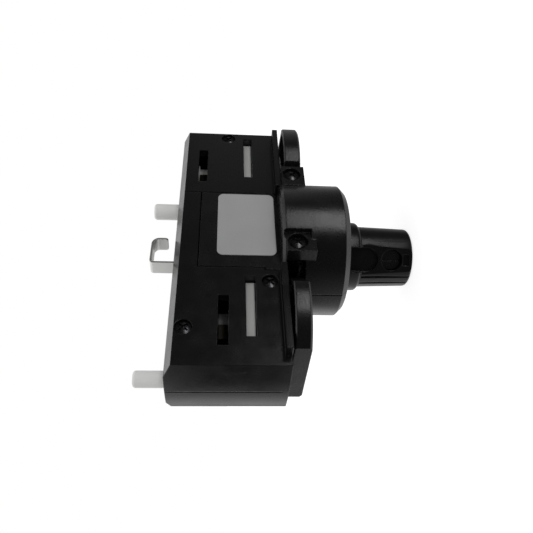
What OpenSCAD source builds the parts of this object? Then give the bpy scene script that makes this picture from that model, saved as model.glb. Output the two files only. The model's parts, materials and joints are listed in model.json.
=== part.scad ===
// Track light adapter: a two-part moulded body that slides up into a lighting track, two turning
// rotors that lock it and make contact, sprung plungers, an earth hook and a round hub with a cord grip.
// Millimetres. X runs along the track, Z up into it, Y across. The origin is at the middle of the
// flange's upper face, which rests on the track's lips, over the axis of the cord grip.

/* [Track body] */
// Length of the body at its mid plane
body_l = 77.4; // [72:0.2:84]
// Width of the body across the track's slot
body_w = 18; // [17:0.2:20]
// Height of the body above the flange
body_h = 24.5; // [24:0.1:27]
// How far the ends bow out between their corners
end_bow = 1; // [0.4:0.1:1.6]
// Rounding of the body's rear corners
rear_round = 2.2; // [1:0.1:2.6]
// Width of the chamfer along the top edges
top_chamfer_w = 3.8; // [2.5:0.1:4.2]
// Height of the chamfer along the top edges
top_chamfer_h = 1.6; // [0.8:0.1:2]
// Thickness of the side walls
wall = 2; // [1.6:0.1:2.4]
// Thickness of the end walls at the mid plane
end_wall = 2.3; // [2:0.1:2.6]
// Thickness of the roof
roof_t = 2; // [1.8:0.1:2.4]
// Height of the floor's upper face above the flange's upper face
floor_rise = 0.8; // [0.4:0.1:1.2]
// Width and depth of the groove that marks the parting line
seam = 0.24; // [0.1:0.02:0.4]

/* [Flange] */
// Length of the flange
flange_l = 71.8; // [68:0.2:76]
// Place of the flange's middle along the body
flange_x = 0.45; // [0.2:0.05:1.2]
// Width of the flange
flange_w = 24; // [22:0.5:26]
// Thickness of the flange
flange_t = 1.4; // [1.2:0.1:1.8]

/* [Rotors] */
// Place of the near rotor's axis along the body
near_x = -22.75; // [-24:0.05:-22]
// Place of the far rotor's axis along the body
far_x = 27.35; // [27:0.05:27.6]
// Radius of the spindle between its bearings
spindle_r = 3.4; // [3:0.1:3.8]
// Radius of the journal in the floor
journal_r = 4.6; // [4.2:0.1:5]
// Radius of the collar between the flange and the hand wheel
thrust_r = 7.5; // [6.5:0.1:8]
// Radius of the journal under the roof
top_journal_r = 2.5; // [2:0.1:3]
// Height of the middle of the locking cam
cam_z = 6.75; // [6.5:0.05:7.2]
// Thickness of the locking cam
cam_t = 2; // [1.6:0.1:2.4]
// How far the locking cam reaches past the side of the body when turned
cam_reach = 1.4; // [0.6:0.1:1.4]
// Side of the square end that drives the rotor
drive_side = 5.6; // [5:0.1:6]

/* [Contacts] */
// Height of the middle of the near contact blade
near_contact_z = 12.65; // [12:0.05:13]
// Height of the middle of the far contact blade
far_contact_z = 18.65; // [18.4:0.05:18.8]
// Thickness of a contact blade
contact_t = 2; // [1.6:0.1:2.2]
// Half width of a contact blade
contact_half = 2.1; // [1.5:0.1:2.1]
// How far a contact blade reaches past the side of the body when turned
contact_reach = 1.4; // [1:0.1:2]
// Half width of the saddle that holds the blade on the spindle
saddle_half = 4; // [3.8:0.1:4.6]
// Wall of the saddle and of the collector ring
ring_wall = 0.95; // [0.8:0.05:1.2]
// Height of the middle of the feed strips
strip_z = 16.4; // [16:0.1:16.5]
// Height of a feed strip's band
strip_h = 1.6; // [1.2:0.1:1.7]
// Thickness of the feed strips
strip_t = 0.5; // [0.4:0.05:0.7]

/* [Knobs] */
// Radius of the hand wheels
knob_r = 15.3; // [14.6:0.1:15.5]
// Gap between the flange and the near hand wheel's rim
near_drop = 0.5; // [0.4:0.05:0.8]
// Gap between the flange and the far hand wheel's rim
far_drop = 1.05; // [0.8:0.05:1.4]
// Height of the near hand wheel
near_knob_h = 3.6; // [3.3:0.1:4]
// Height of the far hand wheel
far_knob_h = 4.25; // [3.8:0.05:4.5]
// Wall of a hand wheel's rim
knob_wall = 1.2; // [1:0.1:1.6]
// Thickness of a hand wheel's floor
knob_floor = 1.3; // [1:0.1:1.6]
// Radius of the boss that takes the rotor's square end
knob_boss_r = 6.2; // [5.6:0.1:7]
// Distance of a hand wheel's two flats from its axis
knob_flat = 11.6; // [11:0.1:13]
// Turn from a hand wheel's first flat to its second
flat_spread = 137; // [125:1:150]
// Direction that the near hand wheel's first flat faces
near_flat_turn = 180; // [170:1:190]
// Direction that the far hand wheel's first flat faces
far_flat_turn = 203; // [195:1:215]

/* [Plungers] */
// Radius of the near plunger
near_pin_r = 1.8; // [1.6:0.05:1.9]
// Radius of the far plunger
far_pin_r = 2.1; // [1.6:0.05:2.2]
// How far a plunger stands above the roof
pin_rise = 6.7; // [5:0.1:9]
// How far a plunger can be pushed down
pin_travel = 3.5; // [2.5:0.1:3.8]
// Length of a plunger under the roof
pin_tail = 6; // [5:0.1:7]
// Half length of the bar that keeps a plunger in
bar_half = 3.2; // [2.6:0.1:4]
// Height of the bar that keeps a plunger in
bar_h = 1.8; // [1.4:0.1:2.4]
// Middle radius of the spring's coil
coil_r = 1.15; // [1:0.05:1.3]
// Thickness of the spring's wire
wire_d = 0.4; // [0.3:0.05:0.45]
// Number of turns of the spring
coil_turns = 6; // [5:1:7]

/* [Earth hook] */
// Place of the hook's rising leg
hook_x = -4.8; // [-5.4:0.05:-4.2]
// Span of the hook over its two legs
hook_span = 8.3; // [7:0.1:9.5]
// Height of the hook above the roof
hook_rise = 6.2; // [5:0.1:8]
// Length of the hook's hanging leg
hook_drop = 4; // [3.5:0.1:4.9]
// Width of the hook's strip
hook_w = 4; // [3:0.1:5]
// Thickness of the hook's strip
hook_t = 0.5; // [0.4:0.05:0.8]

/* [Hub and cover] */
// Radius of the hub
hub_r = 16.5; // [16:0.1:17]
// Place of the hub's middle along the body
hub_x = 1.8; // [1.4:0.1:2.2]
// Depth of the hub's end face below the flange's upper face
hub_depth = 16.6; // [15.6:0.1:18.6]
// Chamfer of the hub's end
hub_chamfer = 1.4; // [0.8:0.1:1.4]
// Wall of the hub
hub_wall = 2; // [1.8:0.1:2.4]
// Thickness of the hub's end
hub_end = 1.5; // [1.2:0.1:2]
// Thickness of the hub's floors under the hand wheels
hub_ceiling = 1; // [0.8:0.1:1.2]
// Wall of the hub beside the hand wheels
hub_web = 1.5; // [1.2:0.1:1.8]
// Place of the hub's parting plane across the body
hub_part = -2.3; // [-3:0.1:-1]
// Depth of the hub's rim below the flange's upper face, where it fills the flange's notch
rim_drop = 0.6; // [0.3:0.1:1]
// Chamfer of the hub's rim there
rim_chamfer = 0.7; // [0.3:0.1:0.8]
// Near edge of the cover tongue
cover_x0 = -11.9; // [-12.2:0.1:-11]
// Far edge of the cover tongue
cover_x1 = 12.8; // [12:0.1:13]
// Height of the cover tongue
cover_h = 18.5; // [17:0.1:19]
// How far the cover tongue steps out beside the flange, at its near edge
cover_step = 0.7; // [0.3:0.1:0.9]
// Height of that step
cover_step_h = 3.2; // [2.5:0.1:4]
// Gap round the cover tongue
cover_gap = 0.25; // [0.15:0.05:0.4]
// Length of the label
label_l = 20.8; // [18:0.1:21]
// Height of the label
label_h = 13.9; // [12:0.1:14.5]
// Height of the label's lower edge
label_z = 0.5; // [0.3:0.1:1.5]
// Distance of the label from the tongue's far edge
label_edge = 0.5; // [0.1:0.1:1]
// Corner radius of the label
label_round = 1.5; // [0.5:0.1:2.5]
// Thickness of the label
label_t = 0.15; // [0.1:0.05:0.3]

/* [Cord grip] */
// Radius of the cable bore
cable_r = 3.5; // [2.5:0.1:3.8]
// Radius of the tube through the hub's end
tube_r = 5; // [4.8:0.1:5.4]
// Radius of the collar
collar_r = 8.6; // [8.2:0.1:9]
// Height of the collar
collar_h = 4.1; // [3.5:0.1:4.6]
// Radius of the barrel under the collar
barrel_r = 7.65; // [7.4:0.05:7.8]
// Radius of the barrel at its end
barrel_end_r = 7.25; // [7:0.05:7.4]
// Length of the cord grip under the hub
grip_l = 17; // [16.8:0.1:20]
// Rounding of the barrel's end
grip_round = 0.8; // [0.4:0.1:1.2]
// Distance of the flat panel from the axis
panel_r = 6.7; // [6.5:0.05:6.8]
// Direction that the flat panel faces
panel_turn = 222; // [180:1:270]
// Half width of the thumb pocket above the panel
pocket_half = 3; // [2.4:0.1:3.2]
// Depth of the thumb pocket under the panel
pocket_deep = 0.8; // [0.4:0.05:0.9]
// Length of the thumb pocket
pocket_l = 8.3; // [7.5:0.1:8.6]
// Distance of the clamp screw from the barrel's end
clamp_rise = 5.2; // [5:0.1:5.6]
// Radius of the clamp screw's hole
clamp_hole_r = 2.6; // [2.2:0.1:2.7]
// Height of the grip nut
nut_h = 2.8; // [2:0.1:3.2]
// Width of the grip nut across its flats
nut_flats = 13; // [12.5:0.1:14]

/* [Terminal block] */
// Distance between the poles
pole_pitch = 5; // [4.6:0.1:5.2]
// Height of the block's lower face
block_z0 = 8.5; // [8:0.1:9]
// Height of the block
block_h = 6.9; // [6.5:0.1:7]
// Depth of the block from front to back
block_d = 8.8; // [8.6:0.1:9]
// Distance of the block's front from the inside of the front wall
block_front = 0.7; // [0.5:0.1:1.2]
// Radius of the wire holes
wire_hole_r = 1.4; // [1:0.1:1.6]

/* [Fasteners] */
// Radius of the housing screws' heads
screw_head_r = 1.7; // [1.5:0.05:1.8]
// Height of the screws' heads
screw_head_h = 0.8; // [0.7:0.1:1]
// Radius of the screws' shanks
screw_r = 0.95; // [0.8:0.05:1.1]
// Radius of the screw bosses
screw_boss_r = 2.1; // [1.9:0.05:2.2]
// Radius of the hand wheel screws
axle_screw_r = 1.2; // [1:0.1:1.3]
// Place of the hub's near lugs along the body
near_lug_x = -7.95; // [-8.2:0.05:-7.7]
// Place of the hub's far lugs along the body
far_lug_x = 15.4; // [15:0.1:15.6]
// Half width of the hub's lugs
lug_half = 3; // [2.6:0.1:3.2]

/* [Clearances] */
// Running gap round journals and plungers
run_gap = 0.1; // [0.06:0.01:0.14]
// Gap between a turning part and a slot or pocket round it
turn_gap = 0.15; // [0.12:0.01:0.2]
// Gap round a part that is fitted and stays
fit_gap = 0.05; // [0.02:0.01:0.08]
// Gap round the hand wheels
knob_gap = 0.5; // [0.4:0.05:0.6]
// Gap between the parts of the body and the hub
joint_gap = 0.1; // [0.05:0.01:0.15]

/* [Hidden] */
$fn = 64;
eps = 0.01;
big = 200;
arc_steps = 6;

half_w = body_w / 2;
in_w = half_w - wall;
half_l = body_l / 2;
in_l = half_l - end_wall;
roof_z = body_h - roof_t;
under_z = -flange_t;
half_flange = flange_w / 2;
bow_r = (half_w * half_w + end_bow * end_bow) / (2 * end_bow);
round_y = half_w - rear_round;
round_x = half_l - bow_r + sqrt((bow_r - rear_round) ^ 2 - round_y ^ 2);

cam_r = half_w + cam_reach;
cam_out = 0.1;
cam_half = in_w + cam_out;
cam_slot_end = 0.35;
cam_slot_half = sqrt(cam_r * cam_r - in_w * in_w) + cam_slot_end;
cam_low = cam_z - cam_t / 2;
cam_top = cam_z + cam_t / 2;
bearing_top = cam_low - turn_gap;
bearing_r = journal_r + 1.6;
socket_h = 1.2;
socket_wall = 1.6;
stub_h = 0.6;
shoulder_z = roof_z - socket_h - turn_gap;

contact_r = half_w + contact_reach;
contact_slot_end = 0.45;
contact_slot_back = sqrt(contact_r * contact_r - in_w * in_w) + contact_half + contact_slot_end;
contact_slot_front = contact_half + contact_slot_end;
ring_in_r = spindle_r + fit_gap;
ring_r = ring_in_r + ring_wall;
ring_margin = 0.2;
saddle_back = ring_r + 1.1;
saddle_front = spindle_r / 2;
strip_low = strip_z - strip_h / 2;
strip_top = strip_z + strip_h / 2;
strip_y = ring_r + turn_gap;
ring_low = strip_low - ring_margin;
ring_top = strip_top + ring_margin;
collar_t = 0.8;

near_knob_top = under_z - near_drop;
near_knob_low = near_knob_top - near_knob_h;
far_knob_top = under_z - far_drop;
far_knob_low = far_knob_top - far_knob_h;
knob_edge = 0.5;
thrust_gap = 0.3;
rim_edge = 0.3;
knob_clear_r = knob_r + knob_gap;
window_top = under_z - joint_gap;
deep_knob_low = min(near_knob_low, far_knob_low);
window_low = deep_knob_low - knob_gap;
axle_head_r = axle_screw_r + 1;
axle_head_h = 1;
axle_sink = 0.1;
axle_web = 0.7;
axle_grip = 8;

near_pin_gap = 0.8;
far_pin_gap = 0.25;
near_pin_x = near_x - contact_r - near_pin_r - near_pin_gap;
far_pin_x = far_x - contact_r - far_pin_r - far_pin_gap;
pin_top = body_h + pin_rise;
pin_low = roof_z - pin_tail;
pin_round = 0.7;
bar_top = roof_z - run_gap;
bar_back = in_l + near_pin_x - run_gap;
spring_spare = 1.5;
spring_l = coil_turns * wire_d + pin_travel + spring_spare;
shelf_z = pin_low - spring_l;
shelf_t = 1;
shelf_half = far_pin_r + 0.3;
wire_sides = 8;
coil_steps = 18;

hook_top = body_h + hook_rise;
hook_low = hook_top - hook_drop;
hook_near = hook_x - hook_t / 2;
hook_small_r = 0.9;
hook_large_r = 2;
hook_tip_round = 0.7;

pole_x = [hook_x - pole_pitch, hook_x, hook_x + pole_pitch];
block_half = pole_pitch * 1.5 + 0.1;
block_y0 = block_front - in_w;
block_y1 = block_y0 + block_d;
block_top = block_z0 + block_h;
term_rise = 2.6;
term_z = block_z0 + term_rise;
term_grip = 4;
blade_low = term_z + screw_r + 0.5;
blade_half = 1.5;
rest_half = 1;
rest_inset = 0.8;

neck_gap = 0.4;
neck_x0 = near_x + knob_clear_r + hub_web + neck_gap;
neck_x1 = far_x - knob_clear_r - hub_web - neck_gap;
neck_half = in_w - joint_gap;
neck_wall = 1.8;
ceiling_low = window_low - hub_ceiling;
lip_out = 1.7;
lip_h = 1.5;
lip_top = ceiling_low - joint_gap;
lip_low = lip_top - lip_h;
hub_low = -hub_depth;
hub_in_r = hub_r - hub_wall;
end_in = hub_low + hub_end;

lug_out = 1.7;
lug_y = half_flange + lug_out;
lug_lift = 0.35;
lug_z = (window_top + window_low) / 2 + lug_lift;
lug_hole_r = 2.3;
lug_bite = 1.8;
far_lug_root = hub_x + sqrt(hub_r * hub_r - half_flange * half_flange) - lug_bite;
flat_half = 2.7;
flat_rise = 0.5;
lap = 0.8;
lap_back = 0.6;
rim_t = 1;
pad_half = 2.2;
pad_t = 1.4;
pad_out = 3.3;
near_pad_y = neck_half + pad_out;
pad_low = window_low + joint_gap;
screw_tip = 0.4;
near_bite = 2.2;
far_bite = pad_t - screw_tip;
head_sink = 0.45;
head_recess = screw_head_h + head_sink;
head_hole_r = screw_head_r + 0.15;
screw_end = 1.5;
slot_half = 0.25;
cross_half = 1.2;

grip_top = end_in + nut_h + 0.5;
grip_low = hub_low - grip_l;
mouth = 0.6;
collar_cover = 0.3;
panel_gap = 0.3;
clamp_z = grip_low + clamp_rise;
clamp_seat = cable_r + 1;
clamp_tip_r = 1.5;
clamp_head_h = 1.1;
clamp_gap = 0.15;
key_half = 1.4;
key_l = 1.5;
key_gap = 0.2;
key_deep = 0.6;
groove_turns = [-35, -53];
groove_r = 0.35;

top_screw_in = 5.85;
top_screw_drop = 1.6;
low_screw_in = 6.75;
low_screw_rise = 1.55;
end_screw_in = 3.1;
end_screw_z = 12;
// Screws through the body: place along the body and height
body_screws = [[near_x - top_screw_in, roof_z - top_screw_drop],
               [near_x + low_screw_in, floor_rise + low_screw_rise],
               [half_l - end_screw_in, end_screw_z]];

body_black = "#1c1c1d";
hub_black = "#242425";
nylon_white = "#d2d1cc";
nickel = "#b9bab8";
brass = "#b39a5a";
steel = "#8f9194";
label_grey = "#969694";
block_grey = "#c9c7bf";

// A box between two corners
module block(low, high) {
    translate(low)
        cube(high - low);
}

// A round bar along +Y from a point
module along_y(at, h, r) {
    translate(at)
        rotate([-90, 0, 0])
            cylinder(h = h, r = r);
}

// A square with rounded corners, from its lower left corner
module rounded_square(size, r) {
    translate([r, 0])
        square([size.x - 2 * r, size.y]);
    translate([0, r])
        square([size.x, size.y - 2 * r]);
    for (x = [r, size.x - r], y = [r, size.y - r])
        translate([x, y])
            circle(r = r);
}

// Points along an arc from one angle to another
function arc(at, r, from, to) =
    [for (i = [0 : arc_steps])
        let (a = from + (to - from) * i / arc_steps)
        at + r * [cos(a), sin(a)]];

// The part of a shape in front of a plane across Y (side -1) or behind it (side 1)
module half_of(side, at = 0) {
    intersection() {
        children();
        translate([-big / 2, side < 0 ? at - big : at, -big / 2])
            cube(big);
    }
}

// A shape as drawn for the front (side -1), or its mirror image for the back (side 1)
module on_side(side) {
    mirror([0, side < 0 ? 0 : 1, 0])
        children();
}

// Plan of the body: straight sides, bowed ends and rounded rear corners
module body_plan() {
    intersection() {
        union() {
            translate([-half_l, -half_w])
                square([body_l, half_w + round_y]);
            translate([-round_x, 0])
                square([2 * round_x, half_w]);
            for (x = [-round_x, round_x])
                translate([x, round_y])
                    circle(r = rear_round);
        }
        translate([half_l - bow_r, 0])
            circle(r = bow_r, $fn = 180);
        translate([bow_r - half_l, 0])
            circle(r = bow_r, $fn = 180);
    }
}

// Section of the body across the track, with chamfered top edges
module body_section() {
    polygon([[-half_w, under_z], [half_w, under_z], [half_w, body_h - top_chamfer_h],
             [half_w - top_chamfer_w, body_h], [top_chamfer_w - half_w, body_h],
             [-half_w, body_h - top_chamfer_h]]);
}

module body_block() {
    intersection() {
        rotate([90, 0, 90])
            linear_extrude(body_l + 2, center = true)
                body_section();
        translate([0, 0, under_z])
            linear_extrude(body_h - under_z)
                body_plan();
    }
}

// Space that one hand wheel needs, with its gap
module knob_room(x, knob_low) {
    translate([x, 0, knob_low - knob_gap])
        cylinder(h = window_top + knob_gap - knob_low, r = knob_clear_r);
}

// Pads for the hub screws on the front: one under the flange, one beside the neck
module screw_pads() {
    difference() {
        union() {
            block([far_lug_x - pad_half, -half_flange, pad_low],
                  [far_lug_x + pad_half, pad_t - half_flange, under_z + eps]);
            block([near_lug_x - pad_half, -near_pad_y, pad_low],
                  [neck_x0 + eps, pad_t - neck_half, under_z + eps]);
        }
        for (x = [near_x, far_x])
            knob_room(x, deep_knob_low);
    }
}

// Room for those pads in the hub
module pad_room() {
    block([far_lug_x - pad_half - joint_gap, -half_flange - joint_gap, window_low],
          [far_lug_x + pad_half + joint_gap, pad_t - half_flange + joint_gap, window_top]);
    block([near_lug_x - pad_half - joint_gap, -near_pad_y - joint_gap, window_low],
          [neck_x0, pad_t - neck_half + joint_gap, window_top]);
}

// Holes for the hub screws on the front, from their heads into the pads
module hub_screw_holes(r) {
    along_y([near_lug_x, -lug_y - 1, lug_z], lug_y + 1 - near_pad_y + near_bite, r);
    along_y([far_lug_x, -lug_y - 1, lug_z], lug_y + 1 - half_flange + far_bite, r);
}

// Bearings, screw bosses and spring shelves inside the body
module inner_bosses() {
    for (x = [near_x, far_x]) {
        translate([x, 0, under_z])
            cylinder(h = bearing_top - under_z, r = bearing_r);
        translate([x, 0, roof_z - socket_h])
            cylinder(h = socket_h + eps, r = top_journal_r + socket_wall);
    }
    for (s = body_screws)
        along_y([s.x, -in_w - eps, s.y], 2 * in_w + 2 * eps, screw_boss_r);
    for (x = [near_pin_x, far_pin_x])
        block([x - shelf_half, -in_w - eps, shelf_z - shelf_t], [x + shelf_half, in_w + eps, shelf_z]);
}

// Neck under the floor, with the lip that the hub's halves hook over
module neck() {
    block([neck_x0, -neck_half, lip_low], [neck_x1, neck_half, under_z + eps]);
    block([neck_x0 - lip_out, -neck_half, lip_low], [neck_x1 + lip_out, neck_half, lip_top]);
}

// Holes for one rotor: bearings, cam slots on both sides and the contact slot in front
module rotor_room(x, contact_z) {
    translate([x, 0, under_z - 1])
        cylinder(h = bearing_top - under_z + 2, r = journal_r + run_gap);
    translate([x, 0, roof_z - socket_h - 1])
        cylinder(h = socket_h + 1 + stub_h + run_gap, r = top_journal_r + run_gap);
    block([x - cam_slot_half, -half_w - 1, cam_low - turn_gap],
          [x + cam_slot_half, half_w + 1, cam_top + turn_gap]);
    translate([x, 0, cam_low - turn_gap])
        cylinder(h = cam_t + 2 * turn_gap, r = cam_r + turn_gap);
    block([x - contact_slot_back, -half_w - 1, contact_z - contact_t / 2 - turn_gap],
          [x + contact_slot_front, eps - in_w, contact_z + contact_t / 2 + turn_gap]);
}

// Hole and spring room for one plunger
module pin_room(x, r) {
    translate([x, 0, shelf_z])
        cylinder(h = body_h - shelf_z + 1, r = r + run_gap);
}

module body_screw_holes() {
    for (s = body_screws) {
        along_y([s.x, -half_w - 1, s.y], 1 + head_recess, head_hole_r);
        along_y([s.x, -half_w, s.y], body_w - screw_end, screw_r + fit_gap);
    }
}

// Groove along the parting line of the body
module body_seam() {
    difference() {
        block([-half_l - 1, -seam / 2, 0], [half_l + 1, seam / 2, body_h + 1]);
        block([seam - half_l, -1, -1], [half_l - seam, 1, body_h - seam]);
    }
}

// Both halves of the body as one moulding
module housing() {
    difference() {
        union() {
            difference() {
                union() {
                    body_block();
                    block([flange_x - flange_l / 2, -half_flange, under_z],
                          [flange_x + flange_l / 2, half_flange, 0]);
                }
                block([-in_l, -in_w, floor_rise], [in_l, in_w, roof_z]);
            }
            inner_bosses();
            neck();
        }
        rotor_room(near_x, near_contact_z);
        rotor_room(far_x, far_contact_z);
        pin_room(near_pin_x, near_pin_r);
        pin_room(far_pin_x, far_pin_r);
        body_screw_holes();
        block([neck_x0 + neck_wall, neck_wall - neck_half, lip_low - 1],
              [neck_x1 - neck_wall, neck_half - neck_wall, floor_rise + 1]);
        block([hook_near - fit_gap, -hook_w / 2 - fit_gap, roof_z - 1],
              [hook_near + hook_t + fit_gap, hook_w / 2 + fit_gap, body_h + 1]);
        body_seam();
    }
}

module front_housing() {
    color(body_black)
        difference() {
            union() {
                half_of(-1)
                    housing();
                screw_pads();
            }
            hub_screw_holes(screw_r + fit_gap);
            block([cover_x0 - cover_gap, -big / 2, under_z - 1],
                  [cover_x1 + cover_gap, -in_w, cover_h + cover_gap]);
            block([cover_x0 - cover_step - cover_gap, -big / 2, under_z - 1],
                  [cover_x0, -in_w, cover_step_h + cover_gap]);
            block([cover_x1, -big / 2, cover_h],
                  [cover_x1 + cover_gap, seam - half_w, body_h - top_chamfer_h]);
            block([cover_x0 - lap - cover_gap, -in_w, floor_rise],
                  [cover_x1 + lap + cover_gap, lap_back + fit_gap - in_w, cover_h + lap + cover_gap]);
        }
}

module rear_housing() {
    color(body_black)
        difference() {
            union() {
                half_of(1)
                    housing();
                on_side(1)
                    screw_pads();
                for (x = [pole_x[0], pole_x[2]])
                    block([x - rest_half, block_y1, block_z0 + rest_inset],
                          [x + rest_half, in_w + eps, block_top - rest_inset]);
            }
            on_side(1)
                hub_screw_holes(screw_r + fit_gap);
        }
}

// Outline of the hub between the hand wheels, as a solid from a depth up
module waist(low, high, r, knob_wall_r) {
    difference() {
        translate([hub_x, 0, low])
            cylinder(h = high - low, r = r);
        for (x = [near_x, far_x])
            translate([x, 0, low - 1])
                cylinder(h = high - low + 2, r = knob_wall_r);
    }
}

// Lugs on the front of the hub for its screws
module hub_lugs() {
    block([near_lug_x - lug_half, -lug_y, ceiling_low],
          [near_lug_x + lug_half + 1, -near_pad_y - joint_gap, window_top]);
    block([far_lug_root, -lug_y, window_low],
          [far_lug_x + lug_half, -half_flange - joint_gap, window_top]);
}

// The flat cut into the hub's side for its near screw, on the front
module lug_flat() {
    block([near_lug_x - lug_half - 1, -big / 2, window_low],
          [near_lug_x + flat_half, -lug_y, under_z + flat_rise]);
}

// Recesses and holes of the hub's screws on the front
module lug_holes() {
    for (x = [near_lug_x, far_lug_x])
        along_y([x, -lug_y - 1, lug_z], 1 + head_recess, lug_hole_r);
    hub_screw_holes(screw_r + fit_gap);
}

// One half of the hub up to its parting plane, drawn for the front: turned shell, waist and lugs
module hub_half(part) {
    difference() {
        union() {
            half_of(-1, part)
                difference() {
                    translate([hub_x, 0, 0])
                        rotate_extrude()
                            polygon([[0, hub_low], [hub_r - hub_chamfer, hub_low],
                                     [hub_r, hub_low + hub_chamfer], [hub_r, window_top], [0, window_top]]);
                    translate([hub_x, 0, end_in])
                        cylinder(h = ceiling_low - end_in, r = hub_in_r);
                    waist(ceiling_low - eps, window_top + 1, hub_in_r, knob_clear_r + hub_web);
                    translate([0, 0, hub_low - 1])
                        cylinder(h = hub_end + 2, r = tube_r + fit_gap);
                    hub_seam(part);
                }
            rim_plate();
            hub_lugs();
            children();
        }
        knob_room(near_x, near_knob_low);
        knob_room(far_x, far_knob_low);
        pad_room();
        lug_flat();
        lug_holes();
    }
}

// Groove along the parting line of the hub
module hub_seam(part) {
    difference() {
        block([hub_x - hub_r - 1, part - seam / 2, hub_low - 1],
              [hub_x + hub_r + 1, part + seam / 2, window_low]);
        translate([hub_x, 0, hub_low + seam])
            cylinder(h = hub_depth, r = hub_r - seam);
    }
}

module hub_front() {
    color(hub_black)
        hub_half(hub_part)
            cover();
}

// Plate across the top of the hub's front, outside the neck
module rim_plate() {
    translate([0, 0, window_top - rim_t])
        linear_extrude(rim_t)
            intersection() {
                translate([hub_x, 0])
                    circle(r = hub_r);
                translate([-big, -big])
                    square([2 * big, big - in_w - joint_gap]);
            }
}

// Cover tongue on the body's front, its lap behind the wall round it, and the part of the hub's rim
// that fills the flange's notch
module cover() {
    foot = window_top - rim_t;
    intersection() {
        translate([hub_x, 0, 0])
            rotate_extrude()
                polygon([[0, foot], [hub_r, foot], [hub_r, -rim_drop - rim_chamfer],
                         [hub_r - rim_chamfer, -rim_drop], [0, -rim_drop]]);
        block([cover_x0 - cover_step, -big, foot - 1], [cover_x1, -in_w - joint_gap, 0]);
    }
    block([cover_x0, -half_w, foot], [cover_x1, -in_w - joint_gap, cover_h]);
    block([cover_x0 - cover_step, -half_w, foot], [cover_x1, -in_w - joint_gap, cover_step_h]);
    block([cover_x0, -half_w, floor_rise + fit_gap], [cover_x1, lap_back - in_w, cover_h]);
    block([cover_x0 - lap, fit_gap - in_w, floor_rise + fit_gap],
          [cover_x1 + lap, lap_back - in_w, cover_h + lap]);
}

module hub_rear() {
    color(hub_black)
        on_side(1)
            hub_half(-hub_part);
}

module label() {
    color(label_grey)
        translate([cover_x1 - label_edge - label_l, -half_w, label_z])
            rotate([90, 0, 0])
                linear_extrude(label_t)
                    rounded_square([label_l, label_h], label_round);
}

// Height of the seat of a hand wheel's screw, above the wheel's lower face
function axle_seat(knob_low) = knob_low + axle_sink + axle_head_h;

// Height of the lower end of a rotor's square drive
function drive_end(knob_low) = axle_seat(knob_low) + axle_web;

// One white rotor: square drive, thrust collar, journal, locking cam, and spindle with two collars
// round its contact
module rotor(x, knob_low, knob_top, stack_low, stack_top) {
    color(nylon_white)
        translate([x, 0, 0])
            difference() {
                union() {
                    block([-drive_side / 2, -drive_side / 2, drive_end(knob_low)],
                          [drive_side / 2, drive_side / 2, knob_top + eps]);
                    translate([0, 0, knob_top])
                        cylinder(h = under_z - thrust_gap - knob_top, r = thrust_r);
                    translate([0, 0, knob_top])
                        cylinder(h = cam_low - knob_top + eps, r = journal_r);
                    intersection() {
                        translate([0, 0, cam_low])
                            cylinder(h = cam_t, r = cam_r);
                        block([-cam_r, -cam_half, cam_low], [cam_r, cam_half, cam_top]);
                    }
                    translate([0, 0, cam_low])
                        cylinder(h = shoulder_z - cam_low, r = spindle_r);
                    translate([0, 0, stack_low - fit_gap - collar_t])
                        cylinder(h = collar_t, r = ring_r);
                    translate([0, 0, stack_top + fit_gap])
                        cylinder(h = collar_t, r = ring_r);
                    translate([0, 0, shoulder_z - 1])
                        cylinder(h = roof_z + stub_h - shoulder_z + 1, r = top_journal_r);
                }
                translate([0, 0, axle_seat(knob_low)])
                    cylinder(h = axle_grip + fit_gap, r = axle_screw_r + fit_gap);
            }
}

module near_rotor() {
    rotor(near_x, near_knob_low, near_knob_top, near_contact_z - contact_t / 2, ring_top);
}

module far_rotor() {
    rotor(far_x, far_knob_low, far_knob_top, ring_low, far_contact_z + contact_t / 2);
}

// One contact: blade with a round tip, saddle on the spindle and collector ring beside it
module contact(x, z, ring_from, ring_to) {
    blade_z = z - contact_t / 2;
    color(brass)
        translate([x, 0, 0])
            difference() {
                union() {
                    intersection() {
                        block([-contact_r, -contact_half, blade_z],
                              [-saddle_front, contact_half, blade_z + contact_t]);
                        translate([0, 0, blade_z])
                            cylinder(h = contact_t, r = contact_r);
                    }
                    block([-saddle_back, -saddle_half, blade_z],
                          [-saddle_front, saddle_half, blade_z + contact_t]);
                    translate([0, 0, ring_from])
                        cylinder(h = ring_to - ring_from, r = ring_r);
                }
                translate([0, 0, ring_from - big / 2])
                    cylinder(h = big, r = ring_in_r);
            }
}

module near_contact() {
    contact(near_x, near_contact_z, near_contact_z + contact_t / 2 - eps, ring_top);
}

module far_contact() {
    contact(far_x, far_contact_z, ring_low, far_contact_z - contact_t / 2 + eps);
}

// The part of a shape short of two flats at a distance from the axis, the first facing a turn
module short_of(distance, turn) {
    intersection() {
        children();
        rotate(turn)
            block([-big, -big, -big], [distance, big, big]);
        rotate(turn + flat_spread)
            block([-big, -big, -big], [distance, big, big]);
    }
}

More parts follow.
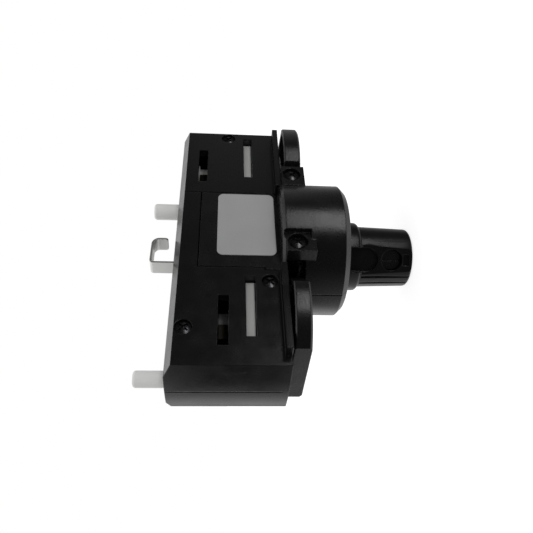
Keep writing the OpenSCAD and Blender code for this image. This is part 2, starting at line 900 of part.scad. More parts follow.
// One hand wheel: a shallow cup with two flats on its rim, open towards the flange, with a boss for the
// rotor's square end
module knob(x, knob_low, knob_top, turn) {
    color(hub_black)
        translate([x, 0, 0])
            difference() {
                short_of(knob_flat, turn)
                    rotate_extrude()
                        polygon([[0, knob_low], [knob_r - knob_edge, knob_low],
                                 [knob_r, knob_low + knob_edge], [knob_r, knob_top - rim_edge],
                                 [knob_r - rim_edge, knob_top], [0, knob_top]]);
                short_of(knob_flat - knob_wall, turn)
                    rotate_extrude()
                        polygon([[knob_boss_r, knob_low + knob_floor],
                                 [knob_r - knob_wall, knob_low + knob_floor],
                                 [knob_r - knob_wall, knob_top + 1], [knob_boss_r, knob_top + 1]]);
                block([-drive_side / 2 - fit_gap, -drive_side / 2 - fit_gap, drive_end(knob_low) - fit_gap],
                      [drive_side / 2 + fit_gap, drive_side / 2 + fit_gap, knob_top + 1]);
                translate([0, 0, knob_low - 1])
                    cylinder(h = drive_end(knob_low) + 1 - knob_low, r = axle_screw_r + fit_gap);
                translate([0, 0, knob_low - 1])
                    cylinder(h = axle_seat(knob_low) + 1 - knob_low, r = axle_head_r + fit_gap);
            }
}

module near_knob() {
    knob(near_x, near_knob_low, near_knob_top, near_flat_turn);
}

module far_knob() {
    knob(far_x, far_knob_low, far_knob_top, far_flat_turn);
}

// The screw that holds a hand wheel on its rotor, with a slot across its head
module knob_screw(x, knob_low) {
    color(steel)
        translate([x, 0, axle_seat(knob_low)])
            difference() {
                union() {
                    translate([0, 0, -axle_head_h])
                        cylinder(h = axle_head_h, r = axle_head_r);
                    translate([0, 0, -eps])
                        cylinder(h = axle_grip, r = axle_screw_r);
                }
                block([-axle_head_r, -slot_half, -axle_head_h - 1],
                      [axle_head_r, slot_half, -axle_head_h / 2]);
            }
}

module near_knob_screw() {
    knob_screw(near_x, near_knob_low);
}

module far_knob_screw() {
    knob_screw(far_x, far_knob_low);
}

// One plunger: round stem with a rounded tip, and the bar that keeps it under the roof
module pin(x, r) {
    color(nylon_white)
        translate([x, 0, 0]) {
            rotate_extrude()
                polygon(concat([[0, pin_low], [r, pin_low]],
                               arc([r - pin_round, pin_top - pin_round], pin_round, 0, 90),
                               [[0, pin_top]]));
            block([-bar_back, -bar_half, bar_top - bar_h], [r, bar_half, bar_top]);
        }
}

module near_pin() {
    pin(near_pin_x, near_pin_r);
}

module far_pin() {
    pin(far_pin_x, far_pin_r);
}

// Points of a ring of wire round the coil's line at a share of its length
function coil_ring(share) =
    let (turn = 360 * coil_turns * share,
         z = shelf_z + wire_d / 2 + (spring_l - wire_d) * share)
    [for (side = [0 : wire_sides - 1])
        let (a = 360 * side / wire_sides, r = coil_r + wire_d / 2 * cos(a))
        [r * cos(turn), r * sin(turn), z + wire_d / 2 * sin(a)]];

// One spring: a round wire carried along a helix
module pin_spring(x) {
    rings = coil_turns * coil_steps;
    points = [for (i = [0 : rings]) each coil_ring(i / rings)];
    walls = [for (i = [0 : rings - 1], s = [0 : wire_sides - 1])
        let (next = (s + 1) % wire_sides, a = i * wire_sides, b = a + wire_sides)
        [a + s, b + s, b + next, a + next]];
    first = [for (s = [0 : wire_sides - 1]) s];
    last = [for (s = [wire_sides - 1 : -1 : 0]) rings * wire_sides + s];
    color(steel)
        translate([x, 0, 0])
            polyhedron(points, concat(walls, [first, last]), convexity = 8);
}

module near_pin_spring() {
    pin_spring(near_pin_x);
}

module far_pin_spring() {
    pin_spring(far_pin_x);
}

// Quarter of a bent strip's corner, about its middle, from a start angle
module strip_bend(at, r, from) {
    translate(at)
        intersection() {
            difference() {
                circle(r = r);
                circle(r = r - hook_t);
            }
            rotate(from)
                square(r + 1);
        }
}

// Side view of the earth hook: rising leg, run along the track and hanging leg
module hook_profile() {
    far_edge = hook_near + hook_span;
    translate([hook_near, blade_low])
        square([hook_t, hook_top - hook_small_r - blade_low]);
    strip_bend([hook_near + hook_small_r, hook_top - hook_small_r], hook_small_r, 90);
    translate([hook_near + hook_small_r, hook_top - hook_t])
        square([hook_span - hook_small_r - hook_large_r, hook_t]);
    strip_bend([far_edge - hook_large_r, hook_top - hook_large_r], hook_large_r, 0);
    translate([far_edge - hook_t, hook_low])
        square([hook_t, hook_top - hook_large_r - hook_low]);
}

module earth_contact() {
    color(nickel)
        intersection() {
            rotate([90, 0, 0])
                linear_extrude(hook_w, center = true)
                    hook_profile();
            union() {
                block([hook_near - 1, -hook_w, 0], [hook_near + hook_span / 2, hook_w, hook_top + 1]);
                translate([hook_near, -hook_w / 2, hook_low])
                    rotate([90, 0, 90])
                        linear_extrude(hook_span + 1)
                            rounded_square([hook_w, hook_drop + 2 * hook_tip_round], hook_tip_round);
            }
        }
}

// One screw along +Y with its head at the start, and a cross slot in the head
module screw_y(at, length) {
    translate(at)
        rotate([-90, 0, 0])
            difference() {
                union() {
                    cylinder(h = screw_head_h, r = screw_head_r);
                    translate([0, 0, screw_head_h - eps])
                        cylinder(h = length, r = screw_r);
                }
                for (a = [45, 135])
                    rotate(a)
                        block([-cross_half, -slot_half, -1], [cross_half, slot_half, screw_head_h / 2]);
            }
}

module housing_screws() {
    color(steel)
        for (s = body_screws)
            screw_y([s.x, head_sink - half_w, s.y],
                    body_w - screw_end - head_recess - screw_tip);
}

// The two hub screws of one side, drawn for the front
module hub_screw_pair() {
    screw_y([near_lug_x, head_sink - lug_y, lug_z],
            lug_y - head_recess - near_pad_y + near_bite - screw_tip);
    screw_y([far_lug_x, head_sink - lug_y, lug_z],
            lug_y - head_recess - half_flange + far_bite - screw_tip);
}

module hub_screws() {
    color(steel)
        for (side = [-1, 1])
            on_side(side)
                hub_screw_pair();
}

module terminal_block() {
    color(block_grey)
        difference() {
            block([hook_x - block_half, block_y0, block_z0], [hook_x + block_half, block_y1, block_top]);
            for (x = pole_x) {
                along_y([x, block_y0 - 1, term_z], 1 + head_recess, head_hole_r);
                along_y([x, block_y0, term_z], head_recess + term_grip, screw_r + fit_gap);
                translate([x, (block_y0 + block_y1) / 2, block_z0 - 1])
                    cylinder(h = term_z - block_z0 + 1, r = wire_hole_r);
            }
            block([hook_near - fit_gap, -hook_w / 2 - fit_gap, blade_low],
                  [hook_near + hook_t + fit_gap, hook_w / 2 + fit_gap, block_top + 1]);
            for (x = [pole_x[0], pole_x[2]])
                block([x - strip_t / 2 - fit_gap, -blade_half - fit_gap, blade_low],
                      [x + strip_t / 2 + fit_gap, blade_half + fit_gap, block_top + 1]);
        }
}

module terminal_screws() {
    color(steel)
        for (x = pole_x)
            screw_y([x, block_y0 + head_sink, term_z], term_grip - screw_tip);
}

// One feed strip: band past the collector ring, arm across to its pole and blade down into the block
module feed_strip(from_x, pole) {
    low_x = min(from_x, pole - strip_t / 2);
    high_x = max(from_x, pole + strip_t / 2);
    color(brass) {
        block([low_x, strip_y, strip_low], [high_x, strip_y + strip_t, strip_top]);
        block([pole - strip_t / 2, -blade_half, strip_low], [pole + strip_t / 2, strip_y + eps, strip_top]);
        block([pole - strip_t / 2, -blade_half, blade_low],
              [pole + strip_t / 2, blade_half, strip_low + eps]);
    }
}

module near_feed_strip() {
    feed_strip(near_x - strip_h, pole_x[0]);
}

module far_feed_strip() {
    feed_strip(far_x + strip_h, pole_x[2]);
}

// Turned form of the cord grip: tube through the hub's end, rounded collar and tapering barrel
module grip_profile() {
    collar_low = hub_low - collar_h;
    collar_round = collar_r - barrel_r;
    polygon(concat([[cable_r, grip_top], [tube_r, grip_top], [tube_r, hub_low], [collar_r, hub_low]],
                   arc([barrel_r, collar_low + collar_round], collar_round, 0, -90),
                   arc([barrel_end_r - grip_round, grip_low + grip_round], grip_round, 0, -90),
                   [[cable_r + mouth, grip_low], [cable_r, grip_low + mouth]]));
}

// Cuts of the cord grip, with its flat panel facing +X
module grip_cuts() {
    pocket_r = panel_r - pocket_deep;
    block([panel_r, -big / 2, grip_low - 1], [big, big / 2, hub_low - collar_h - panel_gap]);
    block([pocket_r, -pocket_half, hub_low - pocket_l + pocket_half],
          [big, pocket_half, hub_low - collar_cover]);
    translate([pocket_r, 0, hub_low - pocket_l + pocket_half])
        rotate([0, 90, 0])
            cylinder(h = big, r = pocket_half);
    translate([0, 0, clamp_z])
        rotate([0, 90, 0])
            cylinder(h = big, r = clamp_tip_r + fit_gap);
    translate([clamp_seat, 0, clamp_z])
        rotate([0, 90, 0])
            cylinder(h = big, r = clamp_hole_r);
    block([panel_r - key_deep, -key_half, clamp_z - clamp_hole_r - key_l - key_gap],
          [big, key_half, clamp_z - clamp_hole_r - key_gap]);
    for (a = groove_turns)
        rotate(a)
            translate([barrel_end_r + groove_r / 2, 0, grip_low - 1])
                cylinder(h = grip_l - collar_h - panel_gap + 1, r = groove_r, $fn = 24);
}

module cord_grip() {
    color(body_black)
        difference() {
            rotate_extrude()
                grip_profile();
            rotate(panel_turn)
                grip_cuts();
        }
}

module grip_nut() {
    color(nickel)
        translate([0, 0, end_in])
            difference() {
                cylinder(h = nut_h, r = nut_flats / 2 / cos(30), $fn = 6);
                translate([0, 0, -1])
                    cylinder(h = nut_h + 2, r = tube_r + fit_gap);
            }
}

// The set screw in the side of the cord grip
module cord_clamp_screw() {
    color(steel)
        rotate(panel_turn)
            translate([0, 0, clamp_z])
                rotate([0, 90, 0])
                    difference() {
                        union() {
                            translate([0, 0, cable_r])
                                cylinder(h = clamp_seat - cable_r + eps, r = clamp_tip_r);
                            translate([0, 0, clamp_seat])
                                cylinder(h = clamp_head_h, r = clamp_hole_r - clamp_gap);
                        }
                        block([-clamp_hole_r, -slot_half, clamp_seat + clamp_head_h / 2],
                              [clamp_hole_r, slot_half, clamp_seat + clamp_head_h + 1]);
                    }
}

front_housing();
rear_housing();
hub_front();
hub_rear();
label();
near_rotor();
far_rotor();
near_contact();
far_contact();
near_knob();
far_knob();
near_knob_screw();
far_knob_screw();
near_pin();
far_pin();
near_pin_spring();
far_pin_spring();
earth_contact();
housing_screws();
hub_screws();
terminal_block();
terminal_screws();
near_feed_strip();
far_feed_strip();
cord_grip();
grip_nut();
cord_clamp_screw();
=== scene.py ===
"""Track light adapter: moulded track body, turning rotors, plungers, earth hook, hub and cord grip."""
import json
import math

import bmesh
import bpy
import numpy as np
from mathutils import Matrix, Vector

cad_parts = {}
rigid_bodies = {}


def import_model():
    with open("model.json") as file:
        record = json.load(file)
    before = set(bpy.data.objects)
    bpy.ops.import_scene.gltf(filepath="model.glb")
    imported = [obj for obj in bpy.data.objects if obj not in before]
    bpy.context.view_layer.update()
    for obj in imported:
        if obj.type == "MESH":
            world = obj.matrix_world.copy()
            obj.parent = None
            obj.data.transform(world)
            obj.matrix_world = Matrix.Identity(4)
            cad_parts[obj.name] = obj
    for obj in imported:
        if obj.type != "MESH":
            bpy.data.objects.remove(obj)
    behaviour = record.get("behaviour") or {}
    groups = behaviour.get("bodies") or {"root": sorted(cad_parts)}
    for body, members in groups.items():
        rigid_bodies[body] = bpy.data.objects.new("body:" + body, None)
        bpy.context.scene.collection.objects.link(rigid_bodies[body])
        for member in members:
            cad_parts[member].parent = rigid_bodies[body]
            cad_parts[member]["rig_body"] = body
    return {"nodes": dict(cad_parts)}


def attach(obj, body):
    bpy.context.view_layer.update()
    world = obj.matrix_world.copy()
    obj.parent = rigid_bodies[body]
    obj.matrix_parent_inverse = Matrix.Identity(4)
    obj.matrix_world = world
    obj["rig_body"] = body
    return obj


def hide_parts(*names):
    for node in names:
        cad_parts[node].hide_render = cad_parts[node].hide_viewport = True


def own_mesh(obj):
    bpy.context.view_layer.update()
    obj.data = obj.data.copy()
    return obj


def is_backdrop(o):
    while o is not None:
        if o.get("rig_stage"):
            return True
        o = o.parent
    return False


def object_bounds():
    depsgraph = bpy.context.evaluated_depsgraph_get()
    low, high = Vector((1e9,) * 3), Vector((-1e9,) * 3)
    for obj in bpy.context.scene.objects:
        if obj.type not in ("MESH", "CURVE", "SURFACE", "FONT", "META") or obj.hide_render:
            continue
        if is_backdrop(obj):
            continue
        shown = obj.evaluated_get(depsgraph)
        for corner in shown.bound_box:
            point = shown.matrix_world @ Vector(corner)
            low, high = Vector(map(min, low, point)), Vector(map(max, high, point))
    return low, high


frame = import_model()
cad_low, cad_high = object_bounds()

# Camera. The adapter is seen from its front left, a little above the flange, and the camera is
# turned a quarter turn, so that the track's direction is upright in the picture. The picture's side,
# the focal length and the shift are in pixels.
PICTURE, FOCAL, SHIFT = 533, 574, (1.0, -3.0)
SENSOR = 36
STANDS = (-0.09739, -0.10715, 0.01314)
camera = bpy.data.objects.new("camera", bpy.data.cameras.new("camera"))
bpy.context.scene.collection.objects.link(camera)
bpy.context.scene.camera = camera
picture_right = Vector((-0.0350, -0.0698, -0.9970)).normalized()
looking = Vector((0.6594, 0.7480, -0.0755)).normalized()
picture_up = picture_right.cross(looking)
camera.matrix_world = Matrix.Translation(STANDS) @ Matrix(
    (picture_right, picture_up, -looking)).transposed().to_4x4()
camera.data.sensor_width = SENSOR
camera.data.lens = SENSOR * FOCAL / PICTURE
camera.data.shift_x = SHIFT[0] / PICTURE
camera.data.shift_y = SHIFT[1] / PICTURE
camera.data.clip_start = 0.005
camera.data.clip_end = 20
bpy.context.scene.view_settings.view_transform = "Standard"


# Floor. A sheet of pale card that the cord grip's end stands on. To the camera it is paper white
# with the adapter's soft shadow on it. Reflections and lamps pass it: the studio below lights those.
def linear(code, shade=1.0):
    """An sRGB hex colour as linear red, green and blue, each times shade, and alpha."""
    parts = [int(code[i:i + 2], 16) / 255 for i in (1, 3, 5)]
    return [shade * (p / 12.92 if p <= 0.04045 else ((p + 0.055) / 1.055) ** 2.4) for p in parts] + [1.0]


def add(tree, kind, links=(), values=(), **settings):
    """Adds one shader node with its settings, socket values and incoming links."""
    made = tree.nodes.new(kind)
    for name, setting in settings.items():
        setattr(made, name, setting)
    for socket, value in dict(values).items():
        made.inputs[socket].default_value = value
    for socket, source in dict(links).items():
        tree.links.new(source, made.inputs[socket])
    return made


def blank(name):
    """A new material with an empty node tree."""
    made = bpy.data.materials.new(name)
    made.use_nodes = True
    made.node_tree.nodes.clear()
    return made


FLOOR_HALF, FLOOR_GAP = 3.0, 0.0002
floor_mesh = bpy.data.meshes.new("floor")
floor_mesh.from_pydata([(FLOOR_HALF * x, FLOOR_HALF * y, cad_low.z - FLOOR_GAP)
                        for x, y in ((-1, -1), (1, -1), (1, 1), (-1, 1))], [], [(0, 1, 2, 3)])
floor = bpy.data.objects.new("floor", floor_mesh)
bpy.context.scene.collection.objects.link(floor)
floor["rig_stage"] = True
card = blank("pale card")
tree = card.node_tree
path = add(tree, "ShaderNodeLightPath")
paper = add(tree, "ShaderNodeBsdfDiffuse", values={"Color": linear("#b0b0b0")})
glow = add(tree, "ShaderNodeEmission", {"Strength": path.outputs["Is Camera Ray"]},
           {"Color": linear("#e9e9e9")})
both = add(tree, "ShaderNodeAddShader", {0: paper.outputs[0], 1: glow.outputs[0]})
add(tree, "ShaderNodeOutputMaterial", {"Surface": both.outputs[0]})
floor_mesh.materials.append(card)
floor.visible_glossy = False
floor.visible_shadow = False

# Studio. A white backdrop to the camera and an even soft room light on the adapter. Reflections show a
# dark room in front, a bright wall behind, a grey one to the right, and a pale ceiling and ground. One
# softbox, low in front, makes the hub's broad highlight, and one behind and above lights the chamfers.
SOFT_LIGHT, WHITE = 0.76, 1.0
# Each part of the room: the axis it is seen along, where it starts and is full, its strengths at those
# two places, and how it fades
ROOM = {"wall": ("Y", 0.81, 1.0, 0.04, 1.05, "SMOOTHSTEP"),
        "right": ("X", 0.6, 0.95, 0.0, 0.3, "SMOOTHSTEP"),
        "ground": ("Y", -0.5, 1.0, 0.0, 0.75, "SMOOTHSTEP"),
        "below": ("Z", -0.11, -0.19, 0.0, 1.0, "LINEAR"),
        "above": ("Z", 0.07, 0.095, 0.0, 1.0, "LINEAR"),
        "ceiling": ("Z", 0.6, 1.0, 0.0, 1.15, "SMOOTHSTEP"),
        "table": ("Z", -0.6, -1.0, 0.0, 0.6, "SMOOTHSTEP")}
# Each softbox: its place, width and height in metres, and its watts
SOFTBOXES = {"front softbox": ((0.185, -0.95, -0.225), 0.59, 0.17, 1.5),
             "rear softbox": ((0.66, 0.36, 0.66), 1.0, 0.8, 0.78)}
world = bpy.data.worlds.new("studio")
bpy.context.scene.world = world
world.use_nodes = True
tree = world.node_tree
tree.nodes.clear()
path = add(tree, "ShaderNodeLightPath")
seen = add(tree, "ShaderNodeMath",
           {0: path.outputs["Is Camera Ray"], 1: path.outputs["Is Transmission Ray"]}, operation="MAXIMUM")
sky = add(tree, "ShaderNodeTexCoord")
side = add(tree, "ShaderNodeSeparateXYZ", {0: sky.outputs["Generated"]})
part = {}
for name, (axis, start, full, least, most, fade) in ROOM.items():
    part[name] = add(tree, "ShaderNodeMapRange", {"Value": side.outputs[axis]},
                     {"From Min": start, "From Max": full, "To Min": least, "To Max": most},
                     interpolation_type=fade).outputs[0]
apart = add(tree, "ShaderNodeMath", {0: part["below"], 1: part["above"]}, operation="MAXIMUM")
level = add(tree, "ShaderNodeMix", {"Factor": apart.outputs[0], "A": part["right"], "B": part["ground"]},
            data_type="FLOAT")
around = add(tree, "ShaderNodeMath", {0: part["wall"], 1: level.outputs[0]}, operation="MAXIMUM")
upright = add(tree, "ShaderNodeMath", {0: part["ceiling"], 1: part["table"]}, operation="MAXIMUM")
room = add(tree, "ShaderNodeMath", {0: around.outputs[0], 1: upright.outputs[0]}, operation="ADD")
glossy = add(tree, "ShaderNodeMix", {"Factor": path.outputs["Is Glossy Ray"], "B": room.outputs[0]},
             {"A": SOFT_LIGHT}, data_type="FLOAT")
shown = add(tree, "ShaderNodeMix", {"Factor": seen.outputs[0], "A": glossy.outputs[0]}, {"B": WHITE},
            data_type="FLOAT")
backdrop = add(tree, "ShaderNodeBackground", {"Strength": shown.outputs[0]}, {"Color": (1, 1, 1, 1)})
add(tree, "ShaderNodeOutputWorld", {"Surface": backdrop.outputs[0]})

for name, (place, wide, high, watts) in SOFTBOXES.items():
    lamp = bpy.data.lights.new(name, "AREA")
    lamp.shape = "RECTANGLE"
    lamp.size = wide
    lamp.size_y = high
    lamp.energy = watts
    softbox = bpy.data.objects.new(name, lamp)
    bpy.context.scene.collection.objects.link(softbox)
    place = Vector(place)
    softbox.matrix_world = Matrix.Translation(place) @ place.to_track_quat("Z", "Y").to_matrix().to_4x4()


# Track body. Two halves moulded in black polycarbonate and screwed together along the mid plane. The
# tool was spark-eroded, so the skin has a fine even grain over a satin gloss. A real grain, of about
# 0.1 mm, is finer than a pixel, so this one and those of the mouldings below are drawn coarser.
def per_mm(size):
    """Texture scale, in waves per metre, of a feature of that size in millimetres."""
    return 1000 / size


CLOUD, FLOW, CORNER = 14, 3.5, 0.3
TONE_DRIFT, GLOSS_DRIFT = 0.14, 0.04
# Most values of a noise lie between these two
NOISE_LOW, NOISE_HIGH = 0.3, 0.7


def moulding(name, colour, ior, rough, grain, depth):
    """Moulded plastic, in millimetres: tone that drifts over CLOUD, gloss that drifts over FLOW, a grain of
    that width and depth, and corners that shade as if rounded to a radius of CORNER."""
    made = blank(name)
    tree = made.node_tree
    place = add(tree, "ShaderNodeTexCoord").outputs["Object"]
    cloud = add(tree, "ShaderNodeTexNoise", {"Vector": place}, {"Scale": per_mm(CLOUD), "Detail": 2})
    tone = add(tree, "ShaderNodeMix", {"Factor": cloud.outputs["Fac"]},
               {"A": linear(colour, 1 - TONE_DRIFT), "B": linear(colour, 1 + TONE_DRIFT)}, data_type="RGBA")
    flow = add(tree, "ShaderNodeTexNoise", {"Vector": place}, {"Scale": per_mm(FLOW), "Detail": 3})
    gloss = add(tree, "ShaderNodeMapRange", {"Value": flow.outputs["Fac"]},
                {"From Min": NOISE_LOW, "From Max": NOISE_HIGH,
                 "To Min": rough - GLOSS_DRIFT, "To Max": rough + GLOSS_DRIFT})
    spark = add(tree, "ShaderNodeTexNoise", {"Vector": place}, {"Scale": per_mm(grain), "Detail": 3})
    corner = add(tree, "ShaderNodeBevel", values={"Radius": CORNER / 1000}, samples=6)
    skin = add(tree, "ShaderNodeBump", {"Height": spark.outputs["Fac"], "Normal": corner.outputs[0]},
               {"Distance": depth / 1000, "Strength": 1.0})
    shader = add(tree, "ShaderNodeBsdfPrincipled",
                 {"Base Color": tone.outputs["Result"], "Roughness": gloss.outputs[0],
                  "Normal": skin.outputs[0]}, {"IOR": ior})
    add(tree, "ShaderNodeOutputMaterial", {"Surface": shader.outputs[0]})
    return made


MERGE, FLAT, SHARP = 1e-6, math.radians(0.4), math.radians(20)


def eased(node, piece, finish, edge):
    """A piece made from its solid: corners nearer than MERGE merged, triangles flatter than FLAT joined to
    faces, and every edge sharper than SHARP rounded over a width of edge millimetres."""
    solid = frame["nodes"][node]
    mesh = solid.data.copy()
    shape = bmesh.new()
    shape.from_mesh(mesh)
    bmesh.ops.remove_doubles(shape, verts=shape.verts, dist=MERGE)
    bmesh.ops.dissolve_limit(shape, angle_limit=FLAT, verts=shape.verts, edges=shape.edges)
    shape.to_mesh(mesh)
    shape.free()
    mesh.shade_smooth()
    if "custom_normal" in mesh.attributes:
        mesh.attributes.remove(mesh.attributes["custom_normal"])
    mesh.set_sharp_from_angle(angle=SHARP)
    mesh.materials.clear()
    mesh.materials.append(finish)
    made = bpy.data.objects.new(piece, mesh)
    bpy.context.scene.collection.objects.link(made)
    rounds = made.modifiers.new("edge rounds", "BEVEL")
    rounds.width = edge / 1000
    rounds.segments = 2
    rounds.limit_method = "ANGLE"
    rounds.angle_limit = SHARP
    rounds.use_clamp_overlap = False
    rounds.harden_normals = True
    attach(made, solid["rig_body"])
    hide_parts(node)
    return made


body_skin = moulding("spark-eroded black polycarbonate", "#0b0b0c", ior=1.48, rough=0.24, grain=0.35,
                     depth=0.010)
eased("front_housing", "front_half", body_skin, edge=0.03)
eased("rear_housing", "rear_half", body_skin, edge=0.03)

# Hub and hand wheels. Black ABS from polished tools, so they have a satin skin with a broad soft
# highlight. The hub's front half carries the cover tongue.
hub_skin = moulding("satin black ABS", "#0b0b0c", ior=1.5, rough=0.26, grain=0.4, depth=0.02)
for node, piece in (("hub_front", "hub_front_half"), ("hub_rear", "hub_rear_half"),
                    ("near_knob", "near_hand_wheel"), ("far_knob", "far_hand_wheel")):
    eased(node, piece, hub_skin, edge=0.03)

# Label. A thin film with rounded corners, stuck on the cover tongue and left bare. It is a matt
# silver-grey, so it shows an even tone and no highlight.
film = moulding("matt silver-grey film", "#a3a3a3", ior=1.45, rough=0.6, grain=0.25, depth=0.003)
eased("label", "label_film", film, edge=0.03)

# Rotors and plungers. The rotors are nylon in its natural colour with a soft shine. Their greyish white
# is partly the nylon's own tone and partly painted shade of the slots they sit in, and the near one's
# spindle, above its cam, is painted a darker grey as the shade inside its contact slot. The plungers are
# whiter acetal: partly their own white and partly painted light.
# Painted shade: the rotors' nylon is set a greyer white than the plungers, for the shade of their slots.
SLOT_SHADED_NYLON = {"colour": "#bebebc", "ior": 1.53, "rough": 0.42, "grain": 0.6, "depth": 0.006}
SPINDLE_SHADE_FROM, SPINDLE_SHADE_FULL = 0.0085, 0.0095
nylon = moulding("natural nylon greyed as painted slot shade", **SLOT_SHADED_NYLON)
spindle_shaded_nylon = moulding("rotor nylon with painted slot and spindle shade", **SLOT_SHADED_NYLON)
tree = spindle_shaded_nylon.node_tree
shader = tree.nodes["Principled BSDF"]
cam_tone = shader.inputs["Base Color"].links[0].from_socket
# Painted shade: from a height of 8.5 mm, fully by 9.5 mm, the near rotor's colour is mixed to a dark grey,
# standing in for the shade of its contact slot on the spindle.
height = add(tree, "ShaderNodeSeparateXYZ", {0: add(tree, "ShaderNodeTexCoord").outputs["Object"]})
spindle = add(tree, "ShaderNodeMapRange", {"Value": height.outputs["Z"]},
              {"From Min": SPINDLE_SHADE_FROM, "From Max": SPINDLE_SHADE_FULL})
tone = add(tree, "ShaderNodeMix", {"Factor": spindle.outputs[0], "A": cam_tone}, {"B": linear("#5e5e5d")},
           data_type="RGBA")
tree.links.new(tone.outputs["Result"], shader.inputs["Base Color"])
eased("near_rotor", "near_rotor_moulding", spindle_shaded_nylon, edge=0.06)
eased("far_rotor", "far_rotor_moulding", nylon, edge=0.06)
# Painted light: the plungers' acetal is set a brighter white, for the open light they stand in.
acetal = moulding("white acetal whitened as painted light", "#e8e8e6", ior=1.48, rough=0.35, grain=0.6, depth=0.005)
for node, piece in (("near_pin", "near_plunger_moulding"), ("far_pin", "far_plunger_moulding")):
    eased(node, piece, acetal, edge=0.05)


# Metal. Stamped and turned pieces: brass contacts coloured near black as painted shade of their slots,
# black screws and a nickel-plated hook.
# Each has lines from rolling or turning that stretch its highlights, drawn wider than real ones.
LINE_SHADE, LINE_SHINE, LINE_DULL = 0.9, 0.06, 0.08


def rolled_metal(name, colour, rough, lines, stretch):
    """Metal with lines of that width in millimetres. The pattern is scaled by stretch along each axis,
    so 0.1 draws the lines out to ten times their width."""
    made = blank(name)
    tree = made.node_tree
    place = add(tree, "ShaderNodeTexCoord").outputs["Object"]
    drawn = add(tree, "ShaderNodeMapping", {"Vector": place}, {"Scale": stretch})
    streak = add(tree, "ShaderNodeTexNoise", {"Vector": drawn.outputs[0]},
                 {"Scale": per_mm(lines), "Detail": 2})
    gloss = add(tree, "ShaderNodeMapRange", {"Value": streak.outputs["Fac"]},
                {"From Min": NOISE_LOW, "From Max": NOISE_HIGH,
                 "To Min": rough - LINE_SHINE, "To Max": rough + LINE_DULL})
    tone = add(tree, "ShaderNodeMix", {"Factor": streak.outputs["Fac"]},
               {"A": linear(colour, LINE_SHADE), "B": linear(colour)}, data_type="RGBA")
    shader = add(tree, "ShaderNodeBsdfPrincipled",
                 {"Base Color": tone.outputs["Result"], "Roughness": gloss.outputs[0]}, {"Metallic": 1.0})
    add(tree, "ShaderNodeOutputMaterial", {"Surface": shader.outputs[0]})
    return made


# Painted shade: the contacts' brass is set near black, standing in for the shade in their slots.
brass = rolled_metal("darkened brass", "#322f2a", rough=0.42, lines=0.2, stretch=(0.1, 1, 1))
for node, piece in (("near_contact", "near_contact_blade"), ("far_contact", "far_contact_blade"),
                    ("near_feed_strip", "near_feed_band"), ("far_feed_strip", "far_feed_band")):
    eased(node, piece, brass, edge=0.03)
oxide = rolled_metal("black-oxide steel", "#4c4c4e", rough=0.24, lines=0.15, stretch=(1, 1, 1))
for node, piece in (("near_knob_screw", "near_wheel_screw"), ("far_knob_screw", "far_wheel_screw"),
                    ("terminal_screws", "terminal_screw_set"), ("cord_clamp_screw", "cord_set_screw")):
    eased(node, piece, oxide, edge=0.08)
nickel = rolled_metal("nickel-plated spring strip", "#f4f4f1", rough=0.36, lines=0.15, stretch=(1, 0.1, 1))
for node, piece in (("earth_contact", "earth_hook"), ("grip_nut", "grip_lock_nut")):
    eased(node, piece, nickel, edge=0.06)

# Plunger springs. Coils of the same steel in wells under the plungers, each given a mesh of its own.
for node, piece, joint in (("near_pin_spring", "near_coil_spring", "near_press"),
                           ("far_pin_spring", "far_coil_spring", "far_press")):
    coil = eased(node, piece, oxide, edge=0.08)
    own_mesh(coil)


# Body and hub screws. Blackened steel with a domed pan head, cold-headed with a cross recess whose
# walls slope. Each lies just under the face of the moulding that it holds. Sizes are in millimetres.
HEAD_R, HEAD_H, SHANK_R, TIP_R, TIP = 1.7, 0.8, 0.95, 0.4, 0.5
DOME, RECESS, BAR, REACH, WALL = 0.36, 0.5, 0.22, 1.15, 0.12
TURNS, RINGS = 72, 36
BODY_FACE, BODY_TIP = -8.55, 7.09
HUB_FACE, HUB_Z = 13.25, -4.0


def bar(across, along):
    """1 on a bar of half width BAR and half length REACH, falling to 0 over a wall of width WALL."""
    return (np.clip((BAR - np.abs(across)) / WALL + 0.5, 0, 1)
            * np.clip((REACH - np.abs(along)) / WALL + 0.5, 0, 1))


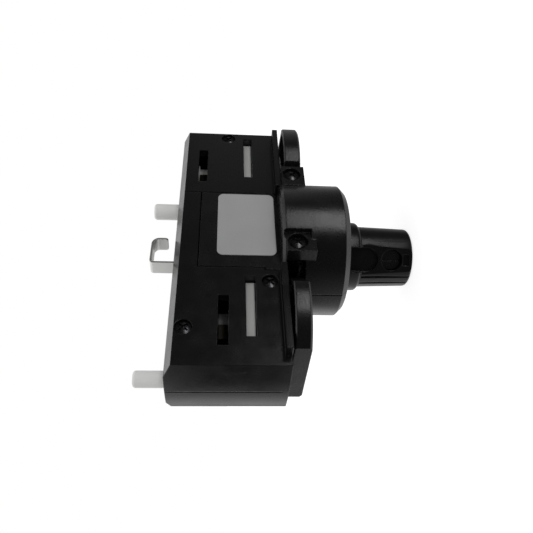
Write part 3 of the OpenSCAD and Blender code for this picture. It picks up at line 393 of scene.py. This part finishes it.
def pan_screws(node, piece, screws):
    """Screws along Y, each given by x, the y of its face, z and the y of its tip. Each is a profile of
    depth against radius, turned about its axis: the dome -DOME (1 - (r / HEAD_R)^2), the head's side, the
    shank and its tip. On the dome, RECESS is added to the depth where either of two crossed bars lies."""
    corners, faces = [], []
    turn = np.linspace(0, 2 * np.pi, TURNS, endpoint=False)
    dome = np.linspace(HEAD_R / RINGS, HEAD_R, RINGS)
    radius = np.concatenate((dome, [HEAD_R, SHANK_R, SHANK_R, TIP_R]))
    out_x, out_z = np.outer(radius, np.cos(turn)), np.outer(radius, np.sin(turn))
    one, other = (out_x + out_z) / np.sqrt(2), (out_z - out_x) / np.sqrt(2)
    cross = np.maximum(bar(one, other), bar(other, one))
    cross[RINGS:] = 0
    for x, face_y, z, tip_y in screws:
        length, inward = abs(tip_y - face_y), np.sign(tip_y - face_y)
        depth = np.concatenate((-DOME * (1 - (dome / HEAD_R) ** 2),
                                [HEAD_H, HEAD_H, length - TIP, length]))
        down = depth[:, None] + RECESS * cross
        grid = np.stack((x + out_x, face_y + inward * down, z + out_z), axis=-1).reshape(-1, 3)
        poles = np.array(((x, face_y + inward * (RECESS - DOME), z), (x, tip_y, z)))
        first = sum(len(done) for done in corners)
        corners.append(np.concatenate((grid, poles)))
        ring = first + np.arange(len(radius) * TURNS).reshape(len(radius), TURNS)
        after = np.roll(ring, -1, axis=1)
        quads = np.stack((ring[:-1], after[:-1], after[1:], ring[1:]), axis=-1).reshape(-1, 4)
        ends = [np.stack((np.full(TURNS, first + len(grid) + i), ring[k], after[k]), axis=-1)
                for i, k in enumerate((0, -1))]
        faces += quads.tolist() + ends[0].tolist() + ends[1].tolist()
    mesh = bpy.data.meshes.new(piece)
    mesh.from_pydata((np.concatenate(corners) / 1000).tolist(), [], faces)
    shape = bmesh.new()
    shape.from_mesh(mesh)
    bmesh.ops.recalc_face_normals(shape, faces=shape.faces)
    shape.to_mesh(mesh)
    shape.free()
    mesh.shade_smooth()
    mesh.set_sharp_from_angle(angle=SHARP)
    mesh.materials.append(oxide)
    made = bpy.data.objects.new(piece, mesh)
    bpy.context.scene.collection.objects.link(made)
    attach(made, "adapter_body")
    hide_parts(node)


pan_screws("housing_screws", "body_screw_set",
           [(x, BODY_FACE, z, BODY_TIP) for x, z in ((-28.6, 20.9), (35.6, 12.0), (-16.0, 2.35))])
pan_screws("hub_screws", "hub_screw_set",
           [(x, face * HUB_FACE, HUB_Z, face * tip)
            for face in (-1, 1) for x, tip in ((-7.95, 8.41), (15.4, 11.41))])

# Terminal block. A pale polyamide moulding inside the body, with a screw for each wire. It is a hidden
# piece from a plain tool, so its skin is matt.
block_skin = moulding("pale polyamide", "#cfccc2", ior=1.53, rough=0.45, grain=0.5, depth=0.006)
eased("terminal_block", "terminal_moulding", block_skin, edge=0.03)

# Cord grip. A black nylon barrel under the hub with a flat panel, a thumb pocket and a clamp screw. Its
# tool was polished, so narrow highlights run along the barrel.
grip_skin = moulding("black polished nylon", "#0b0b0c", ior=1.45, rough=0.30, grain=0.5, depth=0.003)
eased("cord_grip", "cord_grip_barrel", grip_skin, edge=0.03)

# Sizes of the dressed adapter.
low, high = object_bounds()
